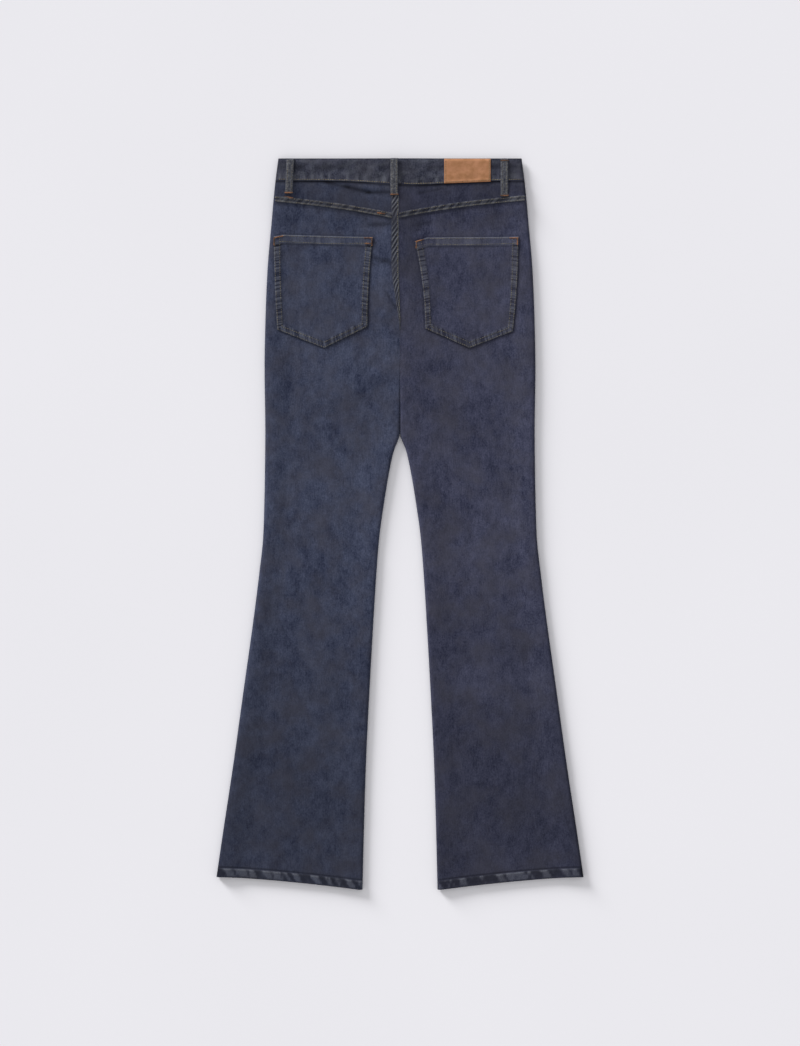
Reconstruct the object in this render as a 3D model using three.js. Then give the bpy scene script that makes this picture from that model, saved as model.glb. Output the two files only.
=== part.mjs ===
// Bootcut jeans laid flat on a surface with the front side down, so that the seat and the backs of
// the legs face up. Each leg is a flattened tube: the front panel lies on the surface, the back panel
// lies on the front panel, and the two meet in a rounded fold at each side.
//
// Millimetres. X runs across the garment, +Y points from the hems to the waist and +Z is up. The
// origin is on the surface, under the middle of the garment's bounding box. Most lengths are given
// as "down", the distance from the waist edge towards the hems.

import * as THREE from "three";

// Cloth thickness and clearances
const DENIM = 1.0;
const BAND = 2.0; // waistband: two layers with the seam allowance between them
const HEM = 2.0; // leg end, turned up twice
const LOOP = 1.8; // belt loop: denim folded in three
const LEATHER = 1.2;
const SEAM_GAP = 0.3; // between neighbouring pieces
const OVERLAY_GAP = 0.75; // under what is sewn on top, whose facets differ a little from those below

// The flattened tube
const LENGTH = 1069.5; // waist edge to the lowest points of the hems
const FOLD = 4.0; // width of the rounded fold at each side
const FOLD_HEIGHT = 2.2; // height at which the front and back walls meet in the fold
const BAND_STACK = 4.6; // lower and upper waistband walls together, with the air between them

// Seams
const BAND_DEPTH = 32.3; // waistband at the sides
const BAND_SAG = { height: 6.2, x: 20, width: 75 }; // its lower edge sags near the middle
const YOKE = { centre: 85, drop: 40, length: 175 }; // the yoke seam climbs from the centre outwards
const SEAT_SHIFT = { x: -7.6, from: 150, over: 115 }; // the seat seam lies left of the middle
const CROTCH = 275;
const DIVE = 70; // length over which the seat seam turns down into the crotch
const FRONT_DIP = 10; // the front waist edge is lower than the back one in the middle
const HEM_DEPTH = 13;
const HEM_RISE = { height: 18.5, bend: 1.4 }; // leg ends climb from the inside leg outwards

// The waist is held up by the front belt loops and, in the middle, by the button
const LIFT = { loops: LOOP + SEAM_GAP, button: 1.6, width: 45, from: 104, over: 40 };
const BUTTON = { down: 28, head: 17, rim: 1.2, dome: 3.4, shank: 7 };

// Half widths of the outline: "outer" to the outside leg, "inner" to the inside leg
const OUTLINE = [
  { down: 0, outer: 178.0, inner: 0 },
  { down: 34, outer: 182.4, inner: 0 },
  { down: 95, outer: 188.2, inner: 0 },
  { down: 165, outer: 194.1, inner: 0 },
  { down: 236, outer: 197.0, inner: 0 },
  { down: 306, outer: 198.3, inner: 0 },
  { down: 400, outer: 197.2, inner: 0 },
  { down: 429, outer: 197.4, inner: 9.5 },
  { down: 464, outer: 197.8, inner: 16.8 },
  { down: 500, outer: 198.5, inner: 22.7 },
  { down: 552, outer: 200.2, inner: 30.0 },
  { down: 605, outer: 205.8, inner: 34.4 },
  { down: 675, outer: 214.6, inner: 38.8 },
  { down: 780, outer: 229.3, inner: 44.7 },
  { down: 886, outer: 244.0, inner: 49.8 },
  { down: 992, outer: 260.0, inner: 53.0 },
  { down: 1070, outer: 271.4, inner: 54.9 },
];

// Height of the back wall's outer face: beside the outside leg, in the middle of the leg, and beside
// the seat seam or the inside leg
const HEIGHTS = [
  { down: 0, side: 4.4, middle: 4.2, inside: 5.8 },
  { down: 165, side: 5.4, middle: 3.8, inside: 5.6 },
  { down: 275, side: 5.6, middle: 3.5, inside: 5.4 },
  { down: 600, side: 5.6, middle: 3.4, inside: 5.4 },
  { down: 1000, side: 5.4, middle: 3.6, inside: 5.2 },
  { down: 1070, side: 5.6, middle: 5.0, inside: 5.6 },
];

// Soft folds on the back: middle, direction from +X, half length, half width and height
const FOLDS = [
  { x: -60, down: 330, turn: 28, length: 60, width: 14, height: 1.2 },
  { x: 48, down: 352, turn: -34, length: 54, width: 12, height: 1.0 },
  { x: -96, down: 56, turn: -12, length: 70, width: 10, height: 0.6 },
  { x: -120, down: 610, turn: 8, length: 62, width: 18, height: 0.9 },
  { x: 132, down: 590, turn: -10, length: 58, width: 16, height: 1.0 },
  { x: 168, down: 905, turn: 12, length: 52, width: 15, height: 0.7 },
];

// Back pocket outlines: x and down at each corner, and where the sides bend
const POCKETS = [
  {
    name: "back_pocket_left",
    top: [{ x: -184.5, down: 114.3 }, { x: -170.8, down: 111.3 }, { x: -39.4, down: 114.7 }],
    waist: [{ x: -183.3, down: 172.9 }, { x: -45.3, down: 174.3 }],
    base: [{ x: -179.6, down: 250.5 }, { x: -111.0, down: 277.6 }, { x: -47.2, down: 245.8 }],
  },
  {
    name: "back_pocket_right",
    top: [{ x: 21.8, down: 121.2 }, { x: 39.8, down: 115.3 }, { x: 173.3, down: 114.3 }],
    waist: [{ x: 32.8, down: 198.7 }, { x: 171.4, down: 175.2 }],
    base: [{ x: 36.9, down: 248.8 }, { x: 101.7, down: 277.6 }, { x: 165.4, down: 252.7 }],
  },
];

// Belt loops: middle of the top end and of the lower end
const LOOP_WIDTH = 11.5;
const LOOP_ARCH = 0.9;
const LOOPS = [
  { name: "loop_back_left", face: "back", top: -160.2, low: -162.6, length: 52 },
  { name: "loop_back_centre", face: "back", top: -8.5, low: -8.5, length: 55 },
  { name: "loop_back_right", face: "back", top: 152.6, low: 152.6, length: 56 },
  { name: "loop_front_left", face: "front", top: 104, low: 105, length: 52 },
  { name: "loop_front_right", face: "front", top: -104, low: -105, length: 52 },
];

const PATCH = { left: 64.5, right: 132.7, margin: 1.2, depthLeft: 37.1, depthRight: 34.4 };
// The zip lies inside the front, and its slider is at its top end
const ZIP = { from: 46, to: 190, tape: 13, chain: 2.5, tapeHeight: 0.8, chainHeight: 1.5 };
const SLIDER = { down: 47, width: 8.5, length: 8, height: 0.9, pull: 8, pullWidth: 5 };
const LAP = 16; // each end of the waistband passes the centre front by this much

const EASE = { top: 12, bottom: 4 }; // how soon a panel's rows come level below and above its edges
const LIFT_ROWS = [50, 64, 72, 80, 88, 96, 104];

const denim = new THREE.MeshStandardMaterial({ color: 0x3a3e50, roughness: 0.92, metalness: 0 });
const bandDenim = new THREE.MeshStandardMaterial({ color: 0x373946, roughness: 0.92, metalness: 0 });
const leather = new THREE.MeshStandardMaterial({ color: 0xa5785a, roughness: 0.7, metalness: 0 });
const brass = new THREE.MeshStandardMaterial({ color: 0x8a6a42, roughness: 0.4, metalness: 0.9 });
const tape = new THREE.MeshStandardMaterial({ color: 0x2a2d3a, roughness: 0.9, metalness: 0 });

const mix = (a, b, t) => a + (b - a) * t;
const rad = THREE.MathUtils.degToRad;

function smooth(t) {
  const c = THREE.MathUtils.clamp(t, 0, 1);
  return c * c * (3 - 2 * c);
}

// A column of a table read at any depth, as a smooth curve that never overshoots its rows.
function read(table, column, down) {
  const last = table.length - 1;
  const at = THREE.MathUtils.clamp(down, table[0].down, table[last].down);
  const i = Math.min(last - 1, table.findLastIndex((row) => row.down <= at));
  const slope = (k) => (table[k + 1][column] - table[k][column]) / (table[k + 1].down - table[k].down);
  const tangent = (k) => {
    if (k === 0 || k === last) return slope(Math.min(k, last - 1));
    const before = slope(k - 1);
    const after = slope(k);
    return before * after > 0 ? (2 * before * after) / (before + after) : 0;
  };
  const span = table[i + 1].down - table[i].down;
  const t = (at - table[i].down) / span;
  const s = 1 - t;
  return (
    table[i][column] * s * s * (1 + 2 * t) +
    table[i + 1][column] * t * t * (3 - 2 * t) +
    tangent(i) * span * t * s * s -
    tangent(i + 1) * span * t * t * s
  );
}

// Where the seams run
const seatShift = (down) => SEAT_SHIFT.x * (1 - smooth((down - SEAT_SHIFT.from) / SEAT_SHIFT.over));
const dive = (down) => smooth((down - CROTCH + DIVE) / DIVE);
const outerAt = (down) => read(OUTLINE, "outer", down);
const innerAt = (down) => read(OUTLINE, "inner", down) + SEAM_GAP / 2;
const bandEdge = (x) => BAND_DEPTH + BAND_SAG.height * Math.exp(-(((x - BAND_SAG.x) / BAND_SAG.width) ** 2));
const frontDip = (x) => FRONT_DIP * Math.max(0, 1 - (x / outerAt(0)) ** 2);

function yokeEdge(x) {
  const out = Math.abs(x - SEAT_SHIFT.x);
  return YOKE.centre - YOKE.drop * (1 - Math.exp(-out / YOKE.length));
}

// Height of the whole stack over the surface, near the waist.
function lift(x, down) {
  const raised = smooth((LIFT.from - down) / LIFT.over);
  return raised * (LIFT.loops + LIFT.button * Math.exp(-((x / LIFT.width) ** 2)));
}

function folds(x, down) {
  return FOLDS.reduce((sum, fold) => {
    const turn = rad(fold.turn);
    const dx = x - fold.x;
    const dy = fold.down - down;
    const along = (dx * Math.cos(turn) + dy * Math.sin(turn)) / fold.length;
    const across = (dy * Math.cos(turn) - dx * Math.sin(turn)) / fold.width;
    return sum + fold.height * Math.exp(-(along ** 2) - across ** 2);
  }, 0);
}

// Height of the back wall's outer face at a share of the way from the inside to the outside leg.
function backHeight(x, share, down) {
  const middle = read(HEIGHTS, "middle", down);
  const side = read(HEIGHTS, "side", down) - middle;
  const inside = read(HEIGHTS, "inside", down) - middle;
  return middle + side * smooth((share - 0.62) / 0.3) + inside * smooth((0.34 - share) / 0.3) + folds(x, down);
}

// One point of a laid tube's wall. "turn" is the angle of the fold, from 0 where the wall is level to
// 90 degrees at the meeting of the walls. "end" is -1 in the inner fold, 1 in the outer one.
function wallPoint({ face, hand, down, share, turn, end, thickness }) {
  const inner = innerAt(down);
  const outer = outerAt(down);
  const angle = rad(turn);
  const reach = FOLD * (1 - Math.sin(angle));
  let x = mix(inner + FOLD, outer - FOLD, share);
  if (end < 0) x = inner + reach;
  if (end > 0) x = outer - reach;
  const across = (x - inner) / (outer - inner);
  const shift = face === "back" ? seatShift(down) * (1 - across) : 0;
  const roll = end < 0 ? dive(down) : 1;
  const bend = (1 - Math.cos(angle)) * roll;
  const meet = FOLD_HEIGHT + (face === "back" ? SEAM_GAP / 2 : -SEAM_GAP / 2);
  const level = face === "back" ? backHeight(hand * x + shift, across, down) : 0;
  const tilt = angle * roll;
  const nx = hand * end * Math.sin(tilt);
  const nz = (face === "back" ? 1 : -1) * Math.cos(tilt);
  const px = hand * x + shift;
  const pz = mix(level, meet, bend) + lift(px, down);
  const y = LENGTH / 2 - down;
  return {
    outside: new THREE.Vector3(px, y, pz),
    inside: new THREE.Vector3(px - nx * thickness, y, pz - nz * thickness),
  };
}

// A closed wall from a grid of points with an outside and an inside face.
function wall(name, material, grid) {
  const rows = grid.length;
  const columns = grid[0].length;
  const positions = [];
  for (const face of ["outside", "inside"]) {
    for (const row of grid) {
      for (const point of row) positions.push(...point[face].toArray());
    }
  }
  const index = [];
  const at = (face, r, c) => face * rows * columns + r * columns + c;
  const quad = (a, b, c, d) => index.push(a, b, c, a, c, d);
  for (let r = 0; r + 1 < rows; r += 1) {
    for (let c = 0; c + 1 < columns; c += 1) {
      quad(at(0, r, c), at(0, r + 1, c), at(0, r + 1, c + 1), at(0, r, c + 1));
      quad(at(1, r, c), at(1, r, c + 1), at(1, r + 1, c + 1), at(1, r + 1, c));
    }
    quad(at(0, r, 0), at(1, r, 0), at(1, r + 1, 0), at(0, r + 1, 0));
    const e = columns - 1;
    quad(at(0, r, e), at(0, r + 1, e), at(1, r + 1, e), at(1, r, e));
  }
  for (let c = 0; c + 1 < columns; c += 1) {
    quad(at(0, 0, c), at(0, 0, c + 1), at(1, 0, c + 1), at(1, 0, c));
    const e = rows - 1;
    quad(at(0, e, c), at(1, e, c), at(1, e, c + 1), at(0, e, c + 1));
  }
  const geometry = new THREE.BufferGeometry();
  geometry.setAttribute("position", new THREE.Float32BufferAttribute(positions, 3));
  geometry.setIndex(volume(positions, index) < 0 ? index.reverse() : index);
  geometry.computeVertexNormals();
  const mesh = new THREE.Mesh(geometry, material);
  mesh.name = name;
  return mesh;
}

// Signed volume, negative when the faces point inwards.
function volume(positions, index) {
  const corner = (k) => new THREE.Vector3().fromArray(positions, index[k] * 3);
  let sum = 0;
  for (let k = 0; k < index.length; k += 3) {
    sum += corner(k).dot(corner(k + 1).cross(corner(k + 2))) / 6;
  }
  return sum;
}

const FOLD_TURNS = [90, 60, 30, 0];

// The columns of a panel, from the inner fold over the level part to the outer fold.
function panelColumns(middle) {
  const level = [];
  for (let k = 1; k < middle; k += 1) level.push({ share: k / middle, turn: 0, end: 0 });
  const inner = FOLD_TURNS.map((turn) => ({ share: 0, turn, end: -1 }));
  const outer = FOLD_TURNS.toReversed().map((turn) => ({ share: 1, turn, end: 1 }));
  return [...inner, ...level, ...outer];
}

// A panel between two edges, which are functions of x. The rows near an edge bend to follow it.
function panel(name, { face, hand, middle, levels, top, bottom, hem }) {
  const first = levels[0];
  const last = levels.at(-1);
  const grid = levels.map((level) =>
    panelColumns(middle).map((column) => {
      const x = hand * mix(innerAt(level), outerAt(level), column.share);
      const t = (level - first) / (last - first);
      const down = level + (top(x) - first) * (1 - t) ** EASE.top + (bottom(x) - last) * t ** EASE.bottom;
      const thickness = hem && level > last - HEM_DEPTH - 1 ? HEM : DENIM;
      return wallPoint({ ...column, face, hand, down, thickness });
    }),
  );
  return wall(name, denim, grid);
}

// A yoke is short, so its rows are spread evenly between its edges.
function yoke(name, hand) {
  const grid = [0, 0.2, 0.4, 0.6, 0.8, 1].map((t) =>
    panelColumns(9).map((column) => {
      const x = hand * mix(0, outerAt(YOKE.centre), column.share);
      const down = mix(bandEdge(x) + 2 * SEAM_GAP, yokeEdge(x) - SEAM_GAP / 2, t);
      return wallPoint({ ...column, face: "back", hand, down, thickness: DENIM });
    }),
  );
  return wall(name, denim, grid);
}

function legEnd(x) {
  const inner = innerAt(LENGTH);
  const across = (Math.abs(x) - inner) / (outerAt(LENGTH) - inner);
  return LENGTH - HEM_RISE.height * (1 - (1 - THREE.MathUtils.clamp(across, 0, 1)) ** HEM_RISE.bend);
}

// Depths of a leg panel's rows from the given one, with two rows where the hem starts.
function legLevels(first) {
  const rows = OUTLINE.map((row) => row.down).filter((down) => down > first + 12 && down < 1000);
  return [first, ...rows, LENGTH - HEM_DEPTH - 3, LENGTH - HEM_DEPTH, LENGTH];
}

function panels() {
  const made = [];
  for (const [side, hand] of [["left", -1], ["right", 1]]) {
    made.push(
      panel(`back_${side}`, {
        face: "back",
        hand,
        middle: 9,
        levels: [...LIFT_ROWS.slice(2), 120, ...legLevels(120).slice(1)],
        top: (x) => yokeEdge(x) + SEAM_GAP / 2,
        bottom: legEnd,
        hem: true,
      }),
      yoke(`yoke_${side}`, hand),
      panel(`front_${side}`, {
        face: "front",
        hand,
        middle: 5,
        levels: [BAND_DEPTH + 5, ...LIFT_ROWS, ...legLevels(LIFT_ROWS.at(-1)).slice(1)],
        top: (x) => frontDip(x) + BAND_DEPTH + 2 * SEAM_GAP,
        bottom: legEnd,
        hem: true,
      }),
    );
  }
  return made;
}

// Stations round the waistband, from its under end at the centre front to its upper end.
function bandStations() {
  const under = { skin: BAND - DENIM * 0.85, depth: BAND };
  const whole = { skin: 0, depth: BAND };
  const over = { skin: 0, depth: DENIM * 0.85 };
  const stations = [];
  const level = (face, from, to, count, layer) => {
    for (let k = 0; k <= count; k += 1) stations.push({ face, x: mix(from, to, k / count), turn: 0, ...layer });
  };
  const fold = (hand, faces) => {
    const turns = [...FOLD_TURNS.slice(0, 3).toReversed().map((turn) => [faces[0], turn])];
    turns.push(...FOLD_TURNS.slice(1, 3).map((turn) => [faces[1], turn]));
    for (const [face, turn] of turns) stations.push({ face, x: hand, turn, end: hand, ...whole });
  };
  level("front", LAP / 170, -LAP / 170, 2, under);
  level("front", -LAP / 170 - 0.01, -1, 5, whole);
  fold(-1, ["front", "back"]);
  level("back", -1, 1, 16, whole);
  fold(1, ["back", "front"]);
  level("front", 1, LAP / 170 + 0.01, 5, whole);
  level("front", LAP / 170, -LAP / 170, 2, over);
  return stations;
}

function bandPoint(station, share) {
  const width = outerAt(share * BAND_DEPTH) - FOLD;
  const angle = rad(station.turn);
  const x = station.x * width + (station.end ?? 0) * FOLD * Math.sin(angle);
  const start = station.face === "front" ? frontDip(x) : 0;
  const depth = station.face === "front" ? BAND_DEPTH : bandEdge(x);
  const down = start + share * depth;
  const level = station.face === "front" ? 0 : BAND_STACK;
  const z = mix(level, BAND_STACK / 2, 1 - Math.cos(angle)) + lift(x, down);
  const nx = (station.end ?? 0) * Math.sin(angle);
  const nz = (station.face === "front" ? -1 : 1) * Math.cos(angle);
  const y = LENGTH / 2 - down;
  const point = (inwards) => new THREE.Vector3(x - nx * inwards, y, z - nz * inwards);
  return { outside: point(station.skin), inside: point(station.depth) };
}

function waistband() {
  const shares = [0, 0.5, 1];
  return wall("waistband", bandDenim, shares.map((share) => bandStations().map((s) => bandPoint(s, share))));
}

// Height of the back's outer face at any place on it, for what is sewn on top.
function backTop(x, down) {
  if (down <= bandEdge(x) + SEAM_GAP) return BAND_STACK + lift(x, down);
  const shift = seatShift(down);
  const hand = x < shift ? -1 : 1;
  const inner = innerAt(down);
  const outer = outerAt(down);
  const across = (x - hand * inner - shift) / (hand * (outer - inner) - shift);
  const place = mix(inner, outer, THREE.MathUtils.clamp(across, 0, 1));
  const level = backHeight(x, across, down);
  const edge = Math.min(place - inner, outer - place);
  const roll = place - inner < outer - place ? dive(down) : 1;
  const cosine = edge < FOLD ? Math.sqrt(1 - (1 - edge / FOLD) ** 2) : 1;
  return mix(level, FOLD_HEIGHT, (1 - cosine) * roll) + lift(x, down);
}

// A wall that lies on the back at the given places.
function overlay(name, material, thickness, places) {
  const grid = places.map((row) =>
    row.map(({ x, down, raise = 0 }) => {
      const z = backTop(x, down) + OVERLAY_GAP + raise;
      const y = LENGTH / 2 - down;
      return { outside: new THREE.Vector3(x, y, z + thickness), inside: new THREE.Vector3(x, y, z) };
    }),
  );
  return wall(name, material, grid);
}

// A point at a share of the way along a line of corners, by x.
function onLine(corners, share) {
  const x = mix(corners[0].x, corners.at(-1).x, share);
  const i = Math.min(corners.length - 2, corners.findLastIndex((corner) => corner.x <= x + 1e-6));
  const t = (x - corners[i].x) / (corners[i + 1].x - corners[i].x);
  return { x, down: mix(corners[i].down, corners[i + 1].down, t) };
}

function pocket({ name, top, waist, base }) {
  const rows = 8;
  const tip = (base[1].x - base[0].x) / (base[2].x - base[0].x);
  const dip = (top[1].x - top[0].x) / (top[2].x - top[0].x);
  const even = [0, 1, 2, 3, 4, 5, 6, 7, 8].map((k) => k / 8).filter((share) => Math.abs(share - tip) > 0.06);
  const shares = [...even, tip, dip].sort((a, b) => a - b);
  const places = [];
  for (let r = 0; r <= rows; r += 1) {
    const t = r / rows;
    places.push(
      shares.map((share) => {
        const a = onLine(top, share);
        const c = onLine(base, share);
        const b = onLine(waist, share);
        const knee = 4 * t * (1 - t);
        const x = mix(a.x, c.x, t) + knee * (b.x - (a.x + c.x) / 2);
        return { x, down: mix(a.down, c.down, t) };
      }),
    );
  }
  return overlay(name, denim, DENIM, places);
}

function backLoop({ name, top, low, length }) {
  const places = [];
  for (let r = 0; r <= 6; r += 1) {
    const t = r / 6;
    const middle = mix(top, low, t);
    const raise = BAND_STACK - 4.1 + LOOP_ARCH * Math.sin(Math.PI * t);
    const down = mix(0.4, length, t);
    const under = backTop(middle, Math.min(down, bandEdge(middle))) - backTop(middle, down);
    places.push(
      [-0.5, 0, 0.5].map((share) => ({
        x: middle + share * LOOP_WIDTH,
        down,
        raise: Math.max(0, under) + raise * Math.min(1, 4 * t, 4 * (1 - t)),
      })),
    );
  }
  return overlay(name, bandDenim, LOOP, places);
}

// A front loop lies flat between the surface and the waistband.
function frontLoop({ name, top, low, length }) {
  const half = LOOP_WIDTH / 2;
  const shape = new THREE.Shape();
  const start = LENGTH / 2 - frontDip(top) - 0.4;
  shape.moveTo(top - half, start);
  shape.lineTo(top + half, start);
  shape.lineTo(low + half, start - length);
  shape.lineTo(low - half, start - length);
  shape.closePath();
  const geometry = new THREE.ExtrudeGeometry(shape, { depth: LOOP, bevelEnabled: false });
  const mesh = new THREE.Mesh(geometry, bandDenim);
  mesh.name = name;
  return mesh;
}

function patch() {
  const places = [];
  for (let r = 0; r <= 2; r += 1) {
    places.push(
      [0, 0.25, 0.5, 0.75, 1].map((share) => ({
        x: mix(PATCH.left, PATCH.right, share),
        down: mix(PATCH.margin, mix(PATCH.depthLeft, PATCH.depthRight, share) - PATCH.margin, r / 2),
      })),
    );
  }
  return overlay("patch", leather, LEATHER, places);
}

// The closed zip lies on the inside of the front panels, along the centre front.
function zip() {
  const profile = [
    { x: -ZIP.tape, height: ZIP.tapeHeight },
    { x: -ZIP.chain - 0.4, height: ZIP.tapeHeight },
    { x: -ZIP.chain, height: ZIP.chainHeight },
    { x: ZIP.chain, height: ZIP.chainHeight },
    { x: ZIP.chain + 0.4, height: ZIP.tapeHeight },
    { x: ZIP.tape, height: ZIP.tapeHeight },
  ];
  const rows = [ZIP.from, ...LIFT_ROWS.slice(1), 130, ZIP.to];
  const grid = rows.map((down) =>
    profile.map(({ x, height }) => {
      const z = DENIM + SEAM_GAP + lift(x, down);
      const y = LENGTH / 2 - down;
      return { outside: new THREE.Vector3(x, y, z + height), inside: new THREE.Vector3(x, y, z) };
    }),
  );
  return wall("zip", tape, grid);
}

function slider() {
  const half = SLIDER.width / 2;
  const end = -SLIDER.length - SLIDER.pull;
  const shape = new THREE.Shape();
  shape.moveTo(-half, 0);
  shape.lineTo(half, 0);
  shape.lineTo(half * 0.8, -SLIDER.length);
  shape.lineTo(SLIDER.pullWidth / 2, -SLIDER.length);
  shape.lineTo(SLIDER.pullWidth / 2, end + 2);
  shape.absarc(0, end + 2, SLIDER.pullWidth / 2, 0, -Math.PI, true);
  shape.lineTo(-SLIDER.pullWidth / 2, -SLIDER.length);
  shape.lineTo(-half * 0.8, -SLIDER.length);
  shape.closePath();
  const geometry = new THREE.ExtrudeGeometry(shape, { depth: SLIDER.height, bevelEnabled: false, curveSegments: 6 });
  const mesh = new THREE.Mesh(geometry, brass);
  mesh.name = "zip_slider";
  mesh.position.set(0, LENGTH / 2 - SLIDER.down, DENIM + SEAM_GAP + ZIP.chainHeight + SEAM_GAP + lift(0, 0));
  return mesh;
}

function button() {
  const profile = [
    new THREE.Vector2(0, 0),
    new THREE.Vector2(BUTTON.head / 2 - 1.5, 0),
    new THREE.Vector2(BUTTON.head / 2, BUTTON.rim / 2),
    new THREE.Vector2(BUTTON.head / 2, BUTTON.rim),
    new THREE.Vector2(BUTTON.head / 2 - 2, BUTTON.rim + 0.8),
    new THREE.Vector2(BUTTON.shank / 2, BUTTON.rim + 1),
    new THREE.Vector2(BUTTON.shank / 2, BUTTON.dome),
    new THREE.Vector2(0, BUTTON.dome),
  ];
  const mesh = new THREE.Mesh(new THREE.LatheGeometry(profile, 20), brass);
  mesh.name = "button";
  mesh.rotation.x = Math.PI / 2;
  mesh.position.set(0, LENGTH / 2 - frontDip(0) - BUTTON.down + FRONT_DIP, 0);
  return mesh;
}

const jeans = new THREE.Group();
jeans.add(...panels(), waistband(), ...POCKETS.map(pocket), patch(), zip(), slider(), button());
for (const loop of LOOPS) jeans.add(loop.face === "back" ? backLoop(loop) : frontLoop(loop));

export default jeans;
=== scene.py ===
# Bootcut jeans in dark rinsed denim, laid flat on a pale table with the back side up.
#
# Shapes are worked out in millimetres, with "down" as the distance from the waist edge towards the
# hems, and turned to metres where a mesh is made. X runs across, +Y points to the waist, +Z is up.

import math
import random

import bmesh
import bpy
from mathutils import Matrix, Vector, noise


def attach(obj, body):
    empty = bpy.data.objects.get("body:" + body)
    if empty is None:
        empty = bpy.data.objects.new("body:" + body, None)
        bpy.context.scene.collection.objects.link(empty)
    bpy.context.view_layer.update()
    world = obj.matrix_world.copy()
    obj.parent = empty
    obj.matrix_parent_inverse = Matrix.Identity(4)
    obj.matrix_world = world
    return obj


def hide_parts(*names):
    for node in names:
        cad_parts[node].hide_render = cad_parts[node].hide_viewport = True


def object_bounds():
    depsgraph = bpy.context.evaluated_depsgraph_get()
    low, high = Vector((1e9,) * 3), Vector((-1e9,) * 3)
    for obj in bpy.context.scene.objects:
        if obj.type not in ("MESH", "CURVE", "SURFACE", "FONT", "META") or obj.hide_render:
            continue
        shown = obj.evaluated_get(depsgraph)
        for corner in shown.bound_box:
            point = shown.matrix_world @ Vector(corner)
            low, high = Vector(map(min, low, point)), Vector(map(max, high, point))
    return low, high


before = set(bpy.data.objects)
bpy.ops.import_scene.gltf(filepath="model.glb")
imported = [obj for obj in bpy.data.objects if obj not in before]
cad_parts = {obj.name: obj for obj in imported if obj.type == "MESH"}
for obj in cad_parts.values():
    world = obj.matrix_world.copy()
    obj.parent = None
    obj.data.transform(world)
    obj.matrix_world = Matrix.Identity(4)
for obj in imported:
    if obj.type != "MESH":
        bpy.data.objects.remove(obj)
CAD_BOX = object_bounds()

MM = 0.001
LENGTH = (CAD_BOX[1][1] - CAD_BOX[0][1]) / MM
WAIST_Y = CAD_BOX[1][1] / MM

# Thicknesses of the cloth and the leather, and the size of one stitch
DENIM = 1.0
BAND = 2.0
LOOP = 1.6
LEATHER = 1.3
HEM_DEPTH = 13.0
STITCH = {"length": 2.7, "pitch": 3.4, "width": 0.75, "height": 0.5}

# The laid tube. The cloth stands a little prouder than the frame's solids.
FOLD = 4.6
FOLD_HEIGHT = 3.0
PROUD = {"side": 2.2, "middle": 0.5, "inside": 1.6}
BAND_STACK = 5.4
SEAM_GAP = 0.3

# Seams, as in the frame. The groove between the legs starts lower here, since soft cloth bridges it.
BAND_DEPTH = 32.3
BAND_SAG = {"height": 6.2, "x": 20.0, "width": 75.0}
YOKE = {"centre": 85.0, "drop": 40.0, "length": 175.0}
SEAT_SHIFT = {"x": -7.6, "from": 150.0, "over": 115.0}
CROTCH = 400.0
DIVE = 110.0
SEAT_MEET = 0.03  # half the gap where the two sides of the garment meet
FRONT_DIP = 10.0
HEM_RISE = {"height": 18.5, "bend": 1.4}
LIFT = {"loops": 2.1, "button": 1.6, "width": 45.0, "from": 104.0, "over": 40.0}
EASE = {"top": 12, "bottom": 4}

OUTLINE = [  # down, half width to the outside leg, half width to the inside leg
    (0, 178.0, 0), (34, 182.4, 0), (95, 188.2, 0), (165, 194.1, 0), (236, 197.0, 0), (306, 198.3, 0),
    (400, 197.2, 0), (429, 197.4, 9.5), (464, 197.8, 16.8), (500, 198.5, 22.7), (552, 200.2, 30.0),
    (605, 205.8, 34.4), (675, 214.6, 38.8), (780, 229.3, 44.7), (886, 244.0, 49.8), (992, 260.0, 53.0),
    (1070, 271.4, 54.9),
]
HEIGHTS = [  # down, and the back's height by the outside leg, in the middle and by the inside leg
    (0, 4.4, 4.2, 5.8), (165, 5.4, 3.8, 5.6), (275, 5.6, 3.5, 5.4), (600, 5.6, 3.4, 5.4),
    (1000, 5.4, 3.6, 5.2), (1070, 5.6, 5.0, 5.6),
]
CREASES = [  # x, down, direction in degrees from +X, half length, half width, height
    (-60, 330, 28, 60, 14, 1.2), (48, 352, -34, 54, 12, 1.0), (-96, 56, -12, 70, 10, 0.6),
    (-120, 610, 8, 62, 18, 0.9), (132, 590, -10, 58, 16, 1.0), (168, 905, 12, 52, 15, 0.7),
    (-50, 43, -8, 38, 6, 1.3), (-48, 51, -10, 44, 5, -1.0), (46, 52, 12, 30, 6, 0.7),
    (-30, 101, -15, 18, 4, -0.9), (-24, 94, -15, 18, 5, 0.5), (30, 104, 18, 16, 4, -0.6),
    (-22, 226, 58, 22, 5, 0.9), (-13, 240, 62, 20, 4, -0.8), (20, 232, -60, 22, 5, 0.8),
    (-34, 300, 40, 34, 7, -0.7), (26, 304, -46, 30, 6, -0.6), (-90, 372, 16, 60, 12, -0.5),
    (96, 392, -18, 56, 12, -0.5), (-70, 566, -6, 40, 11, -0.6), (60, 600, 10, 44, 10, 0.6),
    (-150, 548, 20, 34, 9, 0.7), (160, 536, -22, 36, 9, 0.7), (-166, 760, -14, 46, 12, 0.6),
    (110, 742, 12, 60, 14, -0.5), (-110, 860, 10, 56, 13, 0.5), (196, 860, -16, 40, 11, 0.6),
]
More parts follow.
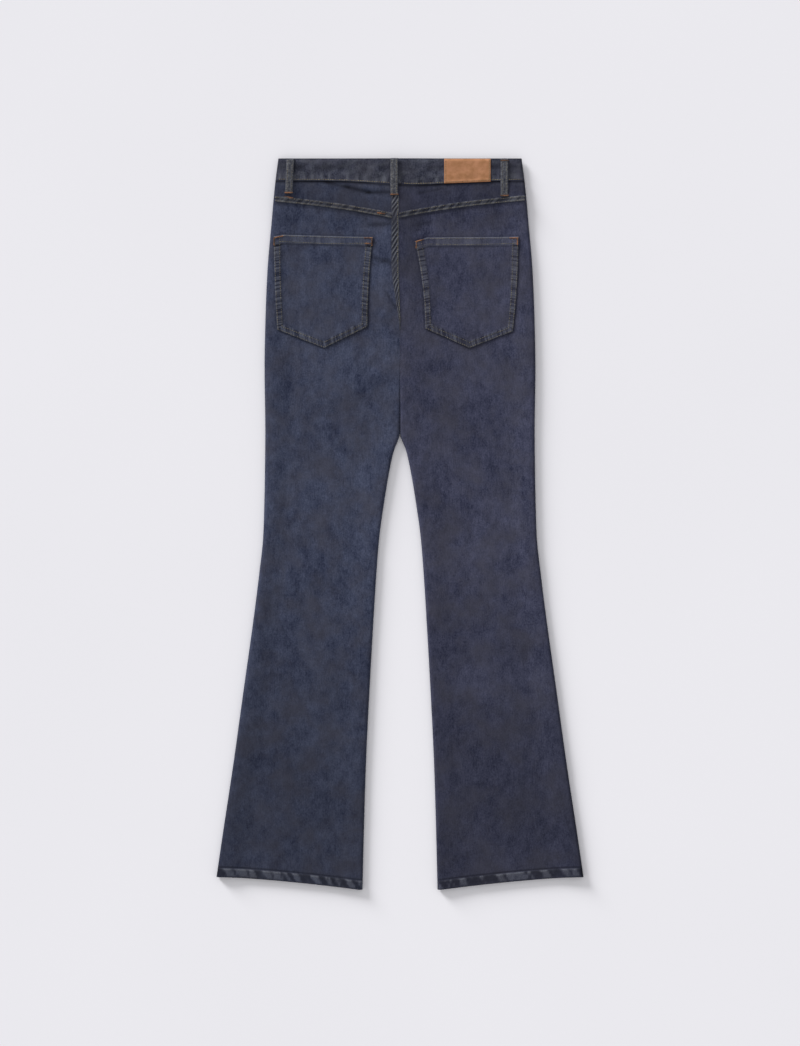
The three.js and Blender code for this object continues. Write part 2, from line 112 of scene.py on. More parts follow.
# Each fold below is sunk into the cloth and also painted with shade by drag_shade.
DRAGS = [  # where cloth is pulled into a dark fold: x and down of both ends, half width, strength
    (-105, 36, -76, 42.3, 2.4, 0.35), (-76, 42.3, -46, 49.8, 2.6, 0.32), (-46, 49.8, -16, 49.8, 2.4, 0.4),
    (-46, 98, -15, 95.5, 2.6, 0.5), (-36, 146, -15, 152, 3.4, 0.5), (-30, 154, -17, 147, 2.0, 0.3),
    (-19, 198, -8, 216, 2.0, 0.45), (30, 51, 62, 44, 2.4, 0.3), (24, 97, 44, 93, 3.0, 0.3),
    (-60, 306, -34, 330, 6.0, 0.14), (20, 318, 52, 296, 6.0, 0.14),
]
DRAG_DEPTH = 0.7
WAVES = [(46, 70, 0.35, 2.1), (15, 24, 0.14, 7.7)]  # width, length, height, and where the noise starts
POCKETS = {
    "left": {
        "top": [(-184.5, 114.3), (-170.8, 111.3), (-39.4, 114.7)],
        "waist": [(-183.3, 172.9), (-45.3, 174.3)],
        "base": [(-179.6, 250.5), (-111.0, 277.6), (-47.2, 245.8)],
    },
    "right": {
        "top": [(21.8, 121.2), (39.8, 115.3), (173.3, 114.3)],
        "waist": [(32.8, 198.7), (171.4, 175.2)],
        "base": [(36.9, 248.8), (101.7, 277.6), (165.4, 252.7)],
    },
}
LOOPS = [  # name, face, middle at the top and at the lower end, length
    ("loop_back_left", "back", -160.2, -162.6, 52), ("loop_back_centre", "back", -8.5, -8.5, 55),
    ("loop_back_right", "back", 152.6, 152.6, 56), ("loop_front_left", "front", 104, 105, 52),
    ("loop_front_right", "front", -104, -105, 52),
]
BACK_LOOPS = [spec for spec in LOOPS if spec[1] == "back"]
LOOP_WIDTH = 11.5
PATCH = {"left": 64.5, "right": 132.7, "low_left": 36.9, "low_right": 34.2}


# ---------------------------------------------------------------- shape of the laid garment

def mix(a, b, t):
    return a + (b - a) * t


def clamp(t, low=0.0, high=1.0):
    return max(low, min(high, t))


def smooth(t):
    t = clamp(t)
    return t * t * (3 - 2 * t)


def near_line(distance, width):
    """1 on a line, falling softly to 0 over about twice the width."""
    return math.exp(-((distance / width) ** 2))


def drag_shade(x, down):
    """Painted shade of the folds in DRAGS at a place, fading to nothing at their ends."""
    total = 0.0
    for ax, ad, bx, bd, width, strength in DRAGS:
        if not min(ad, bd) - 4 * width < down < max(ad, bd) + 4 * width:
            continue
        span = math.hypot(bx - ax, bd - ad)
        along = ((x - ax) * (bx - ax) + (down - ad) * (bd - ad)) / span
        across = ((x - ax) * (bd - ad) - (down - ad) * (bx - ax)) / span
        out = max(0.0, -along, along - span)
        total += strength * math.exp(-((across / width) ** 2) - (out / 5) ** 2)
    return total


def ripple(x, seed=0.0):
    """Uneven waves about one unit apart, from -1 to 1."""
    return clamp(1.7 * noise.noise(Vector((x, seed, 0.37))), -1, 1)


def read(table, column, down):
    """A column of a table at any depth, as a smooth curve that never overshoots its rows."""
    last = len(table) - 1
    at = clamp(down, table[0][0], table[last][0])
    i = max(k for k in range(last) if table[k][0] <= at)

    def slope(k):
        return (table[k + 1][column] - table[k][column]) / (table[k + 1][0] - table[k][0])

    def tangent(k):
        if k in (0, last):
            return slope(min(k, last - 1))
        before, after = slope(k - 1), slope(k)
        return 2 * before * after / (before + after) if before * after > 0 else 0

    span = table[i + 1][0] - table[i][0]
    t = (at - table[i][0]) / span
    s = 1 - t
    return (
        table[i][column] * s * s * (1 + 2 * t) + table[i + 1][column] * t * t * (3 - 2 * t)
        + tangent(i) * span * t * s * s - tangent(i + 1) * span * t * t * s
    )


ROWS = {}


def row_sizes(down):
    """Outline and heights at a depth, kept because every column of a row asks for them."""
    key = round(down, 1)
    if key not in ROWS:
        widths = tuple(read(OUTLINE, column, key) for column in (1, 2))
        ROWS[key] = widths + tuple(read(HEIGHTS, column, key) for column in (1, 2, 3))
    return ROWS[key]


def outer_at(down):
    return row_sizes(down)[0]


def inner_at(down):
    return row_sizes(down)[1] + SEAT_MEET


def seat_shift(down):
    """How far the seat seam lies to the left of the middle, down to where it runs straight."""
    return SEAT_SHIFT["x"] * (1 - smooth((down - SEAT_SHIFT["from"]) / SEAT_SHIFT["over"]))


def dive(down):
    """Share by which the inner edge of a leg has sunk into the groove between the legs."""
    return smooth((down - CROTCH + DIVE) / DIVE)


def band_edge(x):
    return BAND_DEPTH + BAND_SAG["height"] * math.exp(-((x - BAND_SAG["x"]) / BAND_SAG["width"]) ** 2)


def yoke_edge(x):
    out = abs(x - SEAT_SHIFT["x"])
    return YOKE["centre"] - YOKE["drop"] * (1 - math.exp(-out / YOKE["length"]))


def front_dip(x):
    return FRONT_DIP * max(0, 1 - (x / outer_at(0)) ** 2)


def leg_end(x):
    inner = inner_at(LENGTH)
    across = clamp((abs(x) - inner) / (outer_at(LENGTH) - inner))
    return LENGTH - HEM_RISE["height"] * (1 - (1 - across) ** HEM_RISE["bend"])


def lift(x, down):
    """Rise of the whole garment at the waist, over the front loops and the button."""
    raised = smooth((LIFT["from"] - down) / LIFT["over"])
    return raised * (LIFT["loops"] + LIFT["button"] * math.exp(-((x / LIFT["width"]) ** 2)))


def relief(x, down):
    """Listed creases, and the slight unevenness of cloth that lies free."""
    total = 0.0
    for cx, cd, turn, length, width, height in CREASES:
        dx, dy = x - cx, cd - down
        if abs(dx) > 2.6 * length or abs(dy) > 2.6 * length:
            continue
        c, s = math.cos(math.radians(turn)), math.sin(math.radians(turn))
        total += height * math.exp(-(((dx * c + dy * s) / length) ** 2) - ((dy * c - dx * s) / width) ** 2)
    for width, length, height, start in WAVES:
        total += height * noise.noise(Vector((x / width, down / length, start)))
    return total - DRAG_DEPTH * drag_shade(x, down)


def back_height(x, across, down):
    """Height of the back before its folds: raised by both folds of a leg, flatter between them."""
    _, _, side, middle, inside = row_sizes(down)
    middle += PROUD["middle"]
    side += PROUD["side"] - middle
    inside += PROUD["inside"] - middle
    height = middle + side * smooth((across - 0.78) / 0.18) + inside * smooth((0.26 - across) / 0.24)
    return height + relief(x, down)


def wall_point(face, hand, down, share, turn, end):
    """Place of a point of a leg's wall, in millimetres, with y still as down."""
    inner, outer = inner_at(down), outer_at(down)
    angle = math.radians(turn)
    reach = FOLD * (1 - math.sin(angle))
    x = mix(inner + FOLD, outer - FOLD, share)
    if end < 0:
        x = inner + reach
    if end > 0:
        x = outer - reach
    across = (x - inner) / (outer - inner)
    back = face == "back"
    shift = seat_shift(down) * (1 - across) if back else 0
    roll = dive(down) if end < 0 else 1
    meet = FOLD_HEIGHT + (SEAM_GAP / 2 if back else -SEAM_GAP / 2)
    px = hand * x + shift
    level = back_height(px, across, down) if back else 0
    return px, mix(level, meet, (1 - math.cos(angle)) * roll) + lift(px, down)


def back_top(x, down):
    """Height of the back's outer face at any place on it."""
    if down <= band_edge(x) + SEAM_GAP:
        return BAND_STACK + lift(x, down)
    shift = seat_shift(down)
    hand = -1 if x < shift else 1
    inner, outer = inner_at(down), outer_at(down)
    across = clamp((x - hand * inner - shift) / (hand * (outer - inner) - shift))
    place = mix(inner, outer, across)
    near_inside = place - inner < outer - place
    edge = min(place - inner, outer - place)
    cosine = math.sqrt(1 - (1 - edge / FOLD) ** 2) if edge < FOLD else 1
    roll = dive(down) if near_inside else 1
    return mix(back_height(x, across, down), FOLD_HEIGHT, (1 - cosine) * roll) + lift(x, down)


# ---------------------------------------------------------------- mesh helpers

def finish_mesh(name, bm, material, smooth_faces=True):
    mesh = bpy.data.meshes.new(name)
    bm.to_mesh(mesh)
    bm.free()
    mesh.materials.append(material)
    for face in mesh.polygons:
        face.use_smooth = smooth_faces
    piece = bpy.data.objects.new(name, mesh)
    bpy.context.scene.collection.objects.link(piece)
    return piece


def thicken(piece, thickness, bevel=0.0):
    wall = piece.modifiers.new("thickness", "SOLIDIFY")
    wall.thickness = thickness * MM
    wall.offset = -1
    if bevel:
        edge = piece.modifiers.new("soft edge", "BEVEL")
        edge.width = bevel * MM
        edge.segments = 2
        edge.limit_method = "ANGLE"
        edge.angle_limit = math.radians(50)


def cloth(name, columns, rows, place, material, thickness, bevel=0.0, faces="up"):
    """A wall of cloth from a grid. place(column, row) gives x, down, height, wear and dark. faces is the
    side that the outer face looks to; a ring keeps its columns' own way round."""
    bm = bmesh.new()
    nx, ny = len(columns) - 1, len(rows) - 1
    bmesh.ops.create_grid(bm, x_segments=nx, y_segments=ny, size=0.5)
    wear_layer = bm.verts.layers.float.new("wear")
    dark_layer = bm.verts.layers.float.new("dark")
    for vert in bm.verts:
        column = columns[round((vert.co.x + 0.5) * nx)]
        row = rows[round((0.5 - vert.co.y) * ny)]
        x, down, z, wear, dark = place(column, row)
        vert.co = Vector((x, WAIST_Y - down, z)) * MM
        vert[wear_layer] = clamp(wear)
        vert[dark_layer] = clamp(dark)
    bm.normal_update()
    up = sum(face.normal.z * face.calc_area() for face in bm.faces)
    if faces != "round" and (up < 0) != (faces == "down"):
        bmesh.ops.reverse_faces(bm, faces=bm.faces)
    area = sum(face.calc_area() for face in bm.faces)
    piece = finish_mesh(f"laid_{name}", bm, material)
    thicken(piece, thickness, bevel)
    piece["cut"] = area
    return piece


def spread(start, stop, step):
    count = max(1, round((stop - start) / step))
    return [mix(start, stop, k / count) for k in range(count + 1)]


def walk(points, pitch):
    """Places every pitch along a line of (x, down) points, each with its direction."""
    found = []
    carry = pitch / 2
    for (ax, ad), (bx, bd) in zip(points, points[1:]):
        span = math.hypot(bx - ax, bd - ad)
        while carry < span:
            t = carry / span
            found.append((mix(ax, bx, t), mix(ad, bd, t), math.atan2(ad - bd, bx - ax)))
            carry += pitch
        carry -= span
    return found


def add_stitch(bm, x, down, z, turn, length, width, height):
    place = (
        Matrix.Translation(Vector((x, WAIST_Y - down, z)) * MM)
        @ Matrix.Rotation(turn, 4, "Z")
        @ Matrix.Diagonal((length / 2 * MM, width / 2 * MM, height * MM, 1))
    )
    bmesh.ops.create_icosphere(bm, subdivisions=1, radius=1.0, matrix=place)


def stitching(name, lines, top, material, seed):
    """Rows of lockstitch as one mesh. top(x, down) is the height of the cloth under a stitch."""
    rng = random.Random(seed)
    bm = bmesh.new()
    for line in lines:
        for x, down, turn in walk(line, STITCH["pitch"]):
            size = STITCH["length"] * rng.uniform(0.85, 1.05)
            turn += rng.uniform(-0.08, 0.08)
            add_stitch(bm, x, down, top(x, down), turn, size, STITCH["width"], STITCH["height"])
    return finish_mesh(name, bm, material)


def bartacks(name, places, top, material):
    """Short blocks of dense thread. places are x, down, direction in degrees and length."""
    bm = bmesh.new()
    for x, down, turn, length in places:
        angle = math.radians(turn)
        count = max(3, round(length / 0.95))
        for k in range(count):
            t = (k / (count - 1) - 0.5) * length
            px, pd = x + t * math.cos(angle), down - t * math.sin(angle)
            add_stitch(bm, px, pd, top(px, pd) + 0.2, angle + math.pi / 2, 2.3, 1.1, 0.75)
    return finish_mesh(name, bm, material)


# ---------------------------------------------------------------- materials

def linear(hex_colour):
    """An sRGB hex value as the linear colour that the shader takes."""
    parts = [int(hex_colour[k : k + 2], 16) / 255 for k in (1, 3, 5)]
    return tuple(p / 12.92 if p <= 0.04045 else ((p + 0.055) / 1.055) ** 2.4 for p in parts) + (1.0,)


def add_node(tree, kind, settings=None, links=None, values=None):
    """One node, with its settings, the sockets that feed its inputs and its fixed input values."""
    made = tree.nodes.new(kind)
    for key, value in (settings or {}).items():
        setattr(made, key, value)
    for key, value in (values or {}).items():
        made.inputs[key].default_value = value
    for key, source in (links or {}).items():
        tree.links.new(source, made.inputs[key])
    return made


def new_material(name, roughness, metallic=0.0):
    material = bpy.data.materials.new(name)
    material.use_nodes = True
    shader = material.node_tree.nodes["Principled BSDF"]
    shader.inputs["Roughness"].default_value = roughness
    shader.inputs["Metallic"].default_value = metallic
    return material, material.node_tree, shader


def grain(tree, size_mm, detail=3.0, roughness=0.6, stretch=(1, 1, 1)):
    """Noise whose spots are about size_mm wide, drawn out by stretch."""
    coords = add_node(tree, "ShaderNodeTexCoord").outputs["Object"]
    scale = tuple(1 / (size_mm * MM * s) for s in stretch)
    placed = add_node(tree, "ShaderNodeMapping", None, {"Vector": coords}, {"Scale": scale})
    return add_node(
        tree, "ShaderNodeTexNoise", None, {"Vector": placed.outputs[0]},
        {"Scale": 1.0, "Detail": detail, "Roughness": roughness},
    ).outputs["Fac"]


def blend(tree, kind, factor, a, b):
    """Colour a with colour b over it. a, b and factor are sockets or values."""
    made = add_node(tree, "ShaderNodeMix", {"data_type": "RGBA", "blend_type": kind})
    for slot, value in ((0, factor), (6, a), (7, b)):
        if isinstance(value, (int, float, tuple)):
            made.inputs[slot].default_value = value
        else:
            tree.links.new(value, made.inputs[slot])
    return made.outputs[2]


def ramp(tree, source, low, high, to_low=0.0, to_high=1.0):
    return add_node(
        tree, "ShaderNodeMapRange", {"clamp": True}, {"Value": source},
        {"From Min": low, "From Max": high, "To Min": to_low, "To Max": to_high},
    ).outputs[0]


def indigo_denim(name, deep, mid, worn, spread_of_grain=1.0):
    """Right-hand twill in indigo warp and pale weft, rinsed: matt, mottled, with uneven warp yarns that
    show as short streaks down the leg, and pale where seams have rubbed."""
    material, tree, shader = new_material(name, 0.9)
    slub = grain(tree, 1.9, 3, 0.75, (1, 1.5, 1))
    streak = grain(tree, 2.1, 2, 0.6, (1, 5, 1))
    fleck = grain(tree, 1.1, 2, 0.7)
    mottle = grain(tree, 13, 4, 0.6, (1, 1.5, 1))
    cloud = grain(tree, 95, 2, 0.5)
    tone = add_node(
        tree, "ShaderNodeMath", {"operation": "MULTIPLY_ADD"}, {0: slub}, {1: 0.9, 2: -0.45}
    ).outputs[0]
    for pattern, share in ((mottle, 0.75), (cloud, 0.45), (streak, 0.45), (fleck, 0.5)):
        tone = add_node(
            tree, "ShaderNodeMath", {"operation": "MULTIPLY_ADD"}, {0: pattern, 2: tone}, {1: share}
        ).outputs[0]
    tone = ramp(tree, tone, 1.07 - 0.3 * spread_of_grain, 1.07 + 0.3 * spread_of_grain)
    colour = blend(tree, "MIX", tone, linear(deep), linear(mid))
    faded = ramp(tree, grain(tree, 48, 3, 0.6), 0.42, 0.66, 0.0, 0.55)
    colour = blend(tree, "MIX", faded, colour, linear("#3b3a43"))
    wear = add_node(tree, "ShaderNodeAttribute", {"attribute_name": "wear"}).outputs["Fac"]
    dark = add_node(tree, "ShaderNodeAttribute", {"attribute_name": "dark"}).outputs["Fac"]
    rubbed = add_node(
        tree, "ShaderNodeMath", {"operation": "MULTIPLY", "use_clamp": True},
        {0: wear, 1: ramp(tree, fleck, 0.32, 0.62, 0.35, 1.2)},
    ).outputs[0]
    colour = blend(tree, "MIX", rubbed, colour, linear(worn))
    # The dark attribute carries painted shade in folds, troughs, under edges and along seams, with plain
    # darkening such as towards the hems.
    colour = blend(tree, "MIX", dark, colour, linear("#15161f"))
    tree.links.new(colour, shader.inputs["Base Color"])
    shader.inputs["Specular IOR Level"].default_value = 0.12
    coords = add_node(tree, "ShaderNodeTexCoord").outputs["Object"]
    turned = add_node(
        tree, "ShaderNodeMapping", None, {"Vector": coords}, {"Rotation": (0, 0, math.radians(58))}
    )
    # Real twill lines lie about 0.7 mm apart. These are drawn at 1.3 mm so that they show.
    twill = add_node(
        tree, "ShaderNodeTexWave", {"wave_type": "BANDS", "bands_direction": "X"},
        {"Vector": turned.outputs[0]},
        {"Scale": 0.314 / (1.3 * MM), "Distortion": 1.5, "Detail": 2.0},
    ).outputs["Fac"]
    height = add_node(
        tree, "ShaderNodeMath", {"operation": "MULTIPLY_ADD"}, {0: slub, 2: twill}, {1: 1.6}
    ).outputs[0]
    bump = add_node(
        tree, "ShaderNodeBump", None, {"Height": height}, {"Strength": 0.5, "Distance": 0.3 * MM}
    )
    tree.links.new(bump.outputs[0], shader.inputs["Normal"])
    return material


def spun_thread(name, dark, pale):
    """Core-spun polyester topstitching thread: slightly glossy, with darker and paler stitches."""
    material, tree, shader = new_material(name, 0.55)
    tone = ramp(tree, grain(tree, 6, 2, 0.5), 0.38, 0.62)
    fine = ramp(tree, grain(tree, 0.8, 1, 0.5), 0.3, 0.7)
    colour = blend(tree, "MIX", tone, linear(dark), linear(pale))
    strands = blend(tree, "MIX", fine, linear("#6e6258"), linear("#ffffff"))
    colour = blend(tree, "MULTIPLY", 0.35, colour, strands)
    tree.links.new(colour, shader.inputs["Base Color"])
    shader.inputs["Specular IOR Level"].default_value = 0.2
    return material


def patch_leather():
    """Chrome-tanned split leather, pressed: tan, matt, with fine pebbles and a darker cut edge."""
    material, tree, shader = new_material("tan_split_leather", 0.75)
    shader.inputs["Specular IOR Level"].default_value = 0.15
    pebbles = grain(tree, 0.9, 3, 0.6)
    mottle = ramp(tree, grain(tree, 9, 3, 0.55), 0.35, 0.65)
    colour = blend(tree, "MIX", mottle, linear("#966a49"), linear("#ab7a5b"))
    dark = add_node(tree, "ShaderNodeAttribute", {"attribute_name": "dark"}).outputs["Fac"]
    colour = blend(tree, "MIX", dark, colour, linear("#5b3a24"))
    tree.links.new(colour, shader.inputs["Base Color"])
    bump = add_node(
        tree, "ShaderNodeBump", None, {"Height": pebbles}, {"Strength": 0.4, "Distance": 0.2 * MM}
    )
    tree.links.new(bump.outputs[0], shader.inputs["Normal"])
    return material


def antique_brass():
    """Antiqued brass, barrel-finished: warm brown metal, paler where it rubs."""
    material, tree, shader = new_material("antique_brass", 0.38, 1.0)
    rubbed = ramp(tree, grain(tree, 2.5, 4, 0.6), 0.35, 0.65)
    colour = blend(tree, "MIX", rubbed, linear("#6b4f2c"), linear("#a98550"))
    tree.links.new(colour, shader.inputs["Base Color"])
    tree.links.new(ramp(tree, rubbed, 0, 1, 0.5, 0.3), shader.inputs["Roughness"])
    return material


def woven_tape():
    """Woven polyester zip tape: navy, matt, with fine cross ribs."""
    material, tree, shader = new_material("navy_zip_tape", 0.85)
    ribs = grain(tree, 0.9, 1, 0.5, (6, 1, 1))
    colour = blend(tree, "MIX", ribs, linear("#1f2230"), linear("#343848"))
    tree.links.new(colour, shader.inputs["Base Color"])
    bump = add_node(tree, "ShaderNodeBump", None, {"Height": ribs}, {"Strength": 0.5, "Distance": 0.2 * MM})
    tree.links.new(bump.outputs[0], shader.inputs["Normal"])
    return material


def pale_laminate():
    """Pale laminate table, matt: nearly even, with a faint large cloudiness."""
    material, tree, shader = new_material("pale_matt_laminate", 0.95)
    shader.inputs["Specular IOR Level"].default_value = 0.1
    tone = ramp(tree, grain(tree, 700, 2, 0.5), 0.3, 0.7)
    colour = blend(tree, "MIX", tone, linear("#e9e8ed"), linear("#ebeaef"))
    tree.links.new(colour, shader.inputs["Base Color"])
    return material


WORN = "#74777f"
DENIM_LEFT = indigo_denim("rinsed_indigo_denim_left", "#1f2438", "#4a5065", WORN)
DENIM_RIGHT = indigo_denim("rinsed_indigo_denim_right", "#202336", "#4a4c61", WORN)
DENIM_BAND = indigo_denim("rinsed_indigo_denim_waistband", "#171a27", "#434554", WORN, 0.7)
DENIM_SEAM = indigo_denim("rubbed_indigo_denim_seams", "#1b1d28", "#3e4150", "#85878b", 0.9)
THREAD_TAN = spun_thread("tan_topstitch_thread", "#6c5f45", "#b09f78")
THREAD_DULL = spun_thread("dull_topstitch_thread", "#4a4740", "#8b826c")
THREAD_TACK = spun_thread("rust_bartack_thread", "#594235", "#9c6d4c")
LEATHER_TAN = patch_leather()
BRASS = antique_brass()
TAPE = woven_tape()


# ---------------------------------------------------------------- legs and yokes

TURNS = (90, 75, 60, 45, 30, 15, 0)


def tube_columns(level_count):
    """Columns of a wall: share across, turn round a fold in degrees, and -1 or 1 at its folds."""
    inner = [(0, turn, -1) for turn in TURNS]
    level = [(k / level_count, 0, 0) for k in range(1, level_count)]
    outer = [(1, turn, 1) for turn in reversed(TURNS)]
    return inner + level + outer


def hem_marks(x, from_end, hand):
    """Height, wear and dark of the puckered hem: roping that leans across it, pale on its crests, with
    painted shade in its troughs, just above the hem and along its lower edge.
    """
    if from_end > HEM_DEPTH + 5:
        return 0.0, 0.0, 0.0
    inside = smooth((HEM_DEPTH + 0.6 - from_end) / 1.4)
    rope = ripple((x + 0.6 * from_end) / 7.5, 3.0 * hand)
    rope += 0.35 * ripple((x - 0.3 * from_end) / 2.6, 9.0 * hand)
    crest = smooth(0.5 + 1.1 * rope)
    fold_line = near_line(from_end - HEM_DEPTH + 1.2, 1.1)
    shadow = near_line(from_end - HEM_DEPTH - 1.6, 1.3)
    height = inside * (0.7 + 0.75 * rope * smooth(from_end / 4)) - 0.25 * shadow
    wear = inside * (0.05 + 0.28 * crest * smooth(from_end / 3)) + fold_line * (0.2 + 0.26 * crest)
    # dark: painted shade in the troughs between the ropes, a painted shadow just above the hem, and painted
    # shade along the hem's lower edge.
    dark = inside * 0.42 * (1 - crest) * smooth(from_end / 3) + 0.42 * shadow
    return height, wear, dark + 0.3 * near_line(from_end, 1.6)


def leg_shade(down, across):
    """The legs are darker towards the hems, and have painted shade along their folded sides."""
    low = 0.36 * smooth((down - 520) / 480)
    # Painted shade where the cloth rolls round the folded outer side.
    rim = 0.25 * smooth((across - 0.975) / 0.025)
    return low + rim


def line_at(points, x):
    """Depth of a line of (x, down) points at any x."""
    x = clamp(x, points[0][0], points[-1][0])
    for (ax, ad), (bx, bd) in zip(points, points[1:]):
        if x <= bx:
            return mix(ad, bd, (x - ax) / (bx - ax))
    return points[-1][1]


def pocket_bounds(side, down):
    """The left and right edges of a pocket at a depth."""
    spec = POCKETS[side]
    top, waist, base = spec["top"], spec["waist"], spec["base"]
    found = []
    for k in (0, 1):
        a, b, c = top[0 if k == 0 else -1], waist[k], base[0 if k == 0 else -1]
        found.append(mix(a[0], b[0], (down - a[1]) / (b[1] - a[1])) if down < b[1]
                     else mix(b[0], c[0], (down - b[1]) / (c[1] - b[1])))
    return found


def pocket_shadow(x, down):
    """Darkening of the panel just outside a pocket, strongest on the side away from the light."""
    side = "left" if x < 0 else "right"
    top, base = POCKETS[side]["top"], POCKETS[side]["base"]
    if not top[-1][1] - 12 < down < base[1][1] + 12:
        return 0.0
    left, right = pocket_bounds(side, clamp(down, 116, 248))
    upper = line_at(top, x)
    lower = line_at(base, x)
    out = max(left - x, x - right, upper - down, down - lower)
    if out < -3 or out > 12:
        return 0.0
    away = 1.0 if max(x - right, down - lower) > max(left - x, upper - down) else 0.55
    return 0.5 * away * near_line(max(0.0, out), 2.0)


def back_shade(x, down, across):
    """Darkness of a back, mostly painted shade: in its folds, beside its pocket, and along the yoke seam and
    seat seam.
    """
    shade = leg_shade(down, across) + pocket_shadow(x, down) + drag_shade(x, down)
    # Painted shadow just below the yoke seam.
    shade += 0.5 * near_line(down - yoke_edge(x) - 5.5, 2.2)
    # Painted shade down the groove between the legs, below the seat seam.
    below_seam = smooth((down - 235) / 30) * smooth((400 - down) / 130)
    shade += 0.16 * near_line(x - seat_shift(down), 1.6) * below_seam
    beside_seam = smooth((down - 88) / 12) * smooth((215 - down) / 60)
    return shade + 0.22 * near_line(x - 12, 16) * beside_seam


HEM_STEP = 1.0  # distance between rows in the hem and just above it


def leg_panel(name, face, hand, first, top, material, level_count, step):
    """One wall of a leg. Its rows ease from level ones to the lines of its top(x) and of its hem."""
    fine_from = LENGTH - HEM_DEPTH - 6
    rows = spread(first, fine_from, step) + spread(fine_from, LENGTH, HEM_STEP)[1:]

    def place(column, level):
        share, turn, end = column
        guess = hand * mix(inner_at(level), outer_at(level), share)
        t = (level - first) / (LENGTH - first)
        down = level + (top(guess) - first) * (1 - t) ** EASE["top"]
        down += (leg_end(guess) - LENGTH) * t ** EASE["bottom"]
        x, z = wall_point(face, hand, down, share, turn, end)
        height, wear, dark = hem_marks(x, leg_end(guess) - down, hand)
        if face == "back":
            z += height * math.cos(math.radians(turn))
            across = (abs(x) - inner_at(down)) / (outer_at(down) - inner_at(down))
            dark += back_shade(x, down, across)
        return x, down, z, wear, dark

    faces = "down" if face == "front" else "up"
    return cloth(name, tube_columns(level_count), rows, place, material, DENIM, faces=faces)


def yoke(name, hand, material):
    """One side of the yoke, tucked under the waistband, darker all over and with painted shade just beneath
    the band.
    """
    rows = spread(0, 1, 1 / 34)

    def place(column, t):
        share, turn, end = column
        guess = hand * mix(0, outer_at(YOKE["centre"]), share)
        down = mix(band_edge(guess) - 2.0, yoke_edge(guess) - SEAM_GAP / 2, t)
        x, z = wall_point("back", hand, down, share, turn, end)
        below_band = down - band_edge(x)
        # Painted shade just beneath the waistband, over an even darkening of the whole yoke.
        dark = 0.30 + 0.6 * near_line(below_band - 1.2, 2.2)
        dark += leg_shade(down, abs(x) / outer_at(down)) + drag_shade(x, down)
        wear = 0.12 * near_line(below_band - 5.5, 2.0) * smooth(0.4 + ripple(x / 9, 4.0))
        if below_band < 1.0:
            z -= 0.9 * smooth((1.0 - below_band) / 2)
        return x, down, z, wear, dark

    return cloth(name, tube_columns(86), rows, place, material, DENIM)


# ---------------------------------------------------------------- felled seams

def yoke_seam_top(x, down):
    """Height of the yoke seam, without its roping."""
    from_line = down - yoke_edge(x)
    crown = smooth((4.9 - abs(from_line)) / 1.2)
    return back_top(x, down) + 1.0 * crown


def yoke_seam(name, hand):
    """The felled seam between yoke and back: four layers, ridged and rubbed pale along its edges, with a dark
    line down its middle and painted shade in its troughs and just below it.
    """
    reach = outer_at(60) - 2.6
    start = SEAT_SHIFT["x"]
    columns = spread(start, hand * reach, 1.5 * hand)
    rows = spread(-4.4, 3.8, 0.55)

    def place(x, offset):
        down = yoke_edge(x) + offset
        rope = ripple((x + 0.9 * offset) / 3.4, 11.0 * hand)
        crown = smooth((4.6 - abs(offset + 0.3)) / 1.5)
        z = back_top(x, down) + 0.15 + crown * (1.0 + 0.28 * rope)
        side_part = smooth((abs(x) - 150) / 14)
        wear = 0.04 + 0.16 * smooth(0.5 + rope) + 0.34 * near_line(offset - 2.9, 0.8) + 0.10 * side_part
        # A dark line down the middle, and painted shade just below the lower edge and in the troughs of the
        # roping.
        dark = 0.45 * near_line(offset + 0.4, 1.1) + 0.4 * near_line(offset - 4.2, 0.7)
        dark += 0.3 * (1 - smooth(0.5 + rope))
        return x, down, z, wear, dark

    return cloth(name, columns, rows, place, DENIM_SEAM, 0.9)


SEAT_SEAM = {"from": 55.0, "full": 150.0, "to": 250.0, "half": 5.6}
SEAT_ROPE = {"pitch": 9.2, "lean": 9.0}
SEAT_ROW = 0.62  # place of its visible stitch row, as a share of its half width


def seat_half(down):
    narrowing = smooth((down - SEAT_SEAM["full"]) / (SEAT_SEAM["to"] - SEAT_SEAM["full"] + 6))
    return SEAT_SEAM["half"] * (1 - 0.82 * narrowing)


def seat_middle(down):
    return seat_shift(down) + 0.4


def seat_sink(down):
    """How far the seam drops at its narrow lower end."""
    return 0.8 * smooth((down - 215) / 35)


def seat_seam():
    """The felled seat seam, roped along its stitches: ridges that lean across it, with painted shade in their
    troughs and along its left edge.
    """
    columns = spread(-1, 1, 1 / 7)
    rows = spread(SEAT_SEAM["from"], SEAT_SEAM["to"], 0.9)

    def place(share, down):
        half = seat_half(down)
        x = seat_middle(down) + share * half
        along = down + SEAT_ROPE["lean"] * share + 2.2 * ripple(down / 17, 5.0)
        rope = math.sin(along * 2 * math.pi / SEAT_ROPE["pitch"])
        strength = 0.55 + 0.45 * ripple(down / 26, 8.0)
        crown = smooth((1.0 - abs(share)) / 0.3)
        z = back_top(x, down) + 0.15 + crown * (0.95 + 0.42 * rope * strength) - seat_sink(down)
        right = near_line(share - 0.86, 0.13)
        wear = 0.06 + 0.44 * smooth(1.6 * (rope - 0.2) * strength) * crown + 0.5 * right
        # Painted shade in the troughs of the roping and along the left edge, over a slight darkening of the
        # whole seam.
        dark = 0.08 + 0.5 * smooth(0.3 - 0.9 * rope * strength) * crown + 0.35 * near_line(share + 0.95, 0.12)
        return x, down, z, wear, dark

    return cloth("seat_seam", columns, rows, place, DENIM_SEAM, 0.9)


# ---------------------------------------------------------------- pockets

POCKET_HEM = 13.0
POCKET_ALLOWANCE = 11.5
EDGE_ROWS = (1.7, 8.6)  # stitch rows in from the sides and base
HEM_ROWS = (2.0, POCKET_HEM - 1.6)  # and down from the top


